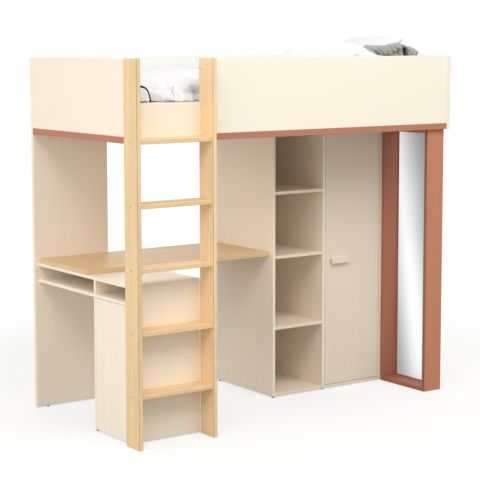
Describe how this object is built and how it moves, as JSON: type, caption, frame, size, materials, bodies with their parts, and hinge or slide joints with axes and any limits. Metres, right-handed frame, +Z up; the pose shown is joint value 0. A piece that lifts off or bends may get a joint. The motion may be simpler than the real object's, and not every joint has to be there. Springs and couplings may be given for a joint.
{
  "type": "loft bed",
  "caption": "High sleeper: a boxed bed on panels, ladder at one end, desk with a storage unit, open bays, hinged wardrobe door and a framed mirror below.",
  "frame": {"origin": "floor level, under the centre of the whole piece's outline, ladder included", "axes": "+X along the bed from the ladder end to the mirror end, +Y from the ladder's front towards the wall side, +Z up"},
  "size_m": [2.06, 1.053, 1.9553],
  "materials": {
    "cream_board": "matt melamine with a faint upright grain",
    "terracotta_board": "matt coloured melamine",
    "oak_board": "pale oak decor with a fine straight grain",
    "slat_wood": "planed softwood",
    "mirror_glass": "silvered, polished edges",
    "handle_paint": "satin powder coat matching the door",
    "hinge_steel": "satin nickel plate",
    "rail_chrome": "bright",
    "glide_plastic": "dark, matt",
    "mattress_fabric": "quilted ticking",
    "duvet_fabric": "soft woven cotton",
    "pillow_fabric": "soft woven cotton",
    "cushion_fabric": "crumpled washed linen",
    "foot_cushion_fabric": "woven cotton with a dark piped edge"
  },
  "bodies": {
    "bed": {"bay_shelves": "cream_board", "cabinet_back": "cream_board", "cabinet_floor": "cream_board", "cabinet_front": "cream_board", "cabinet_hinge_arms": "hinge_steel", "cabinet_shelf": "cream_board", "cabinet_side": "cream_board", "cushion": "cushion_fabric", "duvet": "duvet_fabric", "entry_board": "cream_board", "foot_cushion": "foot_cushion_fabric", "glides": "glide_plastic", "guard_end_left": "cream_board", "guard_end_right": "cream_board", "guard_front": "cream_board", "guard_rear": "cream_board", "hanging_rail": "rail_chrome", "hat_shelf": "cream_board", "ladder_post_left": "oak_board", "ladder_post_right": "oak_board", "ledger_front": "slat_wood", "ledger_rear": "slat_wood", "leg_panel_left": "cream_board", "leg_panel_right": "cream_board", "mattress": "mattress_fabric", "mirror_board": "terracotta_board", "mirror_glass": "mirror_glass", "pillow": "pillow_fabric", "portal_post_front": "terracotta_board", "portal_post_rear": "terracotta_board", "portal_rail_bottom": "terracotta_board", "portal_rail_top": "terracotta_board", "rail_sockets": "rail_chrome", "rung_1": "oak_board", "rung_2": "oak_board", "rung_3": "oak_board", "rung_4": "oak_board", "rung_5": "oak_board", "slats": "slat_wood", "trim_end_left": "terracotta_board", "trim_front": "terracotta_board", "unit_apron": "cream_board", "unit_divider": "cream_board", "unit_shelf": "cream_board", "unit_top": "cream_board", "wardrobe_back": "cream_board", "wardrobe_divider": "cream_board", "wardrobe_floor": "cream_board", "wardrobe_hinge_arms": "hinge_steel", "wardrobe_side_left": "cream_board", "wardrobe_side_right": "cream_board", "wardrobe_stile": "cream_board", "wardrobe_top": "cream_board", "worktop": "oak_board"},
    "wardrobe_door": {"wardrobe_door": "cream_board", "door_handle": "handle_paint", "wardrobe_hinge_cups": "hinge_steel"},
    "cabinet_door": {"cabinet_door": "cream_board", "cabinet_hinge_cups": "hinge_steel"}
  },
  "joints": [
    {"name": "wardrobe_door_hinge", "type": "hinge", "parent": "bed", "child": "wardrobe_door", "pos_m": [0.8695, -0.0365, 0.728], "axis": [0, 0, 1], "range_deg": [0, 88]},
    {"name": "cabinet_door_hinge", "type": "hinge", "parent": "bed", "child": "cabinet_door", "pos_m": [-1.006, -0.086, 0.34], "axis": [0, 0, -1], "range_deg": [0, 95]}
  ]
}
